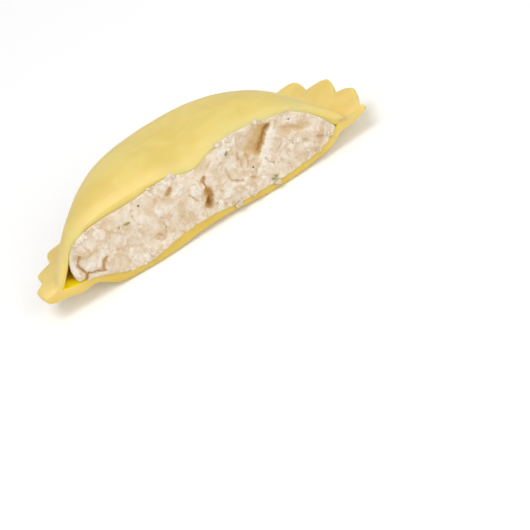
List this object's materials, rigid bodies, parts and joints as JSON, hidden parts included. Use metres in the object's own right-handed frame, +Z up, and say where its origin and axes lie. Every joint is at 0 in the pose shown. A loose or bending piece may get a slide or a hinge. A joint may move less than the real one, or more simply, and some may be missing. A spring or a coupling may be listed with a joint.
{
  "type": "half raviolo",
  "caption": "Large round stuffed pasta piece cut in half: fluted rim, domed upper sheet, flat lower sheet and a mound of soft cheese filling showing at the cut.",
  "frame": {"origin": "bottom centre of the bounding box, on the surface the piece rests on", "axes": "+X along the cut, towards its right end seen from the cut side; the cut faces -Y; +Z up"},
  "size_m": [0.0698, 0.0352, 0.018],
  "materials": {
    "egg_pasta": "cooked egg dough, matt and slightly translucent",
    "ricotta_filling": "crumbly cream-coloured soft cheese"
  },
  "bodies": {
    "root": {"top_sheet": "egg_pasta", "bottom_sheet": "egg_pasta", "filling": "ricotta_filling"}
  },
  "joints": []
}
